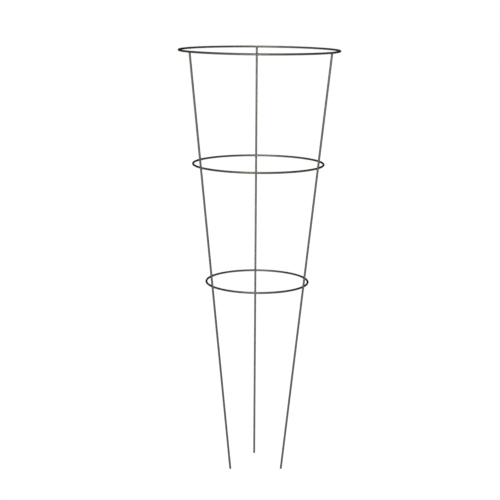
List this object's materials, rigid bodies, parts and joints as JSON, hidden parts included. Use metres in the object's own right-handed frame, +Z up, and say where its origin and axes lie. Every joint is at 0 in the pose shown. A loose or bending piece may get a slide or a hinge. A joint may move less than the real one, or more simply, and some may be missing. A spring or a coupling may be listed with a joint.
{
  "type": "tomato cage",
  "caption": "Conical garden plant support of welded galvanised wire: straight stake legs outside round hoops that widen towards the top.",
  "frame": {"origin": "on the ground between the leg tips, on the axis of the rings", "axes": "+Z up along the cage's axis, +Y towards the rear leg, +X to the right seen from the front"},
  "size_m": [0.3132, 0.3139, 0.8384],
  "materials": {
    "zinc_wire": "dull galvanised zinc",
    "weld": "heat-dulled resistance weld"
  },
  "bodies": {
    "root": {"leg_left": "zinc_wire", "leg_right": "zinc_wire", "leg_rear": "zinc_wire", "top_ring": "zinc_wire", "middle_ring": "zinc_wire", "lower_ring": "zinc_wire", "top_weld_left": "weld", "top_weld_right": "weld", "top_weld_rear": "weld", "middle_weld_left": "weld", "middle_weld_right": "weld", "middle_weld_rear": "weld", "lower_weld_left": "weld", "lower_weld_right": "weld", "lower_weld_rear": "weld", "top_ring_seam": "weld", "middle_ring_seam": "weld", "lower_ring_seam": "weld"}
  },
  "joints": []
}
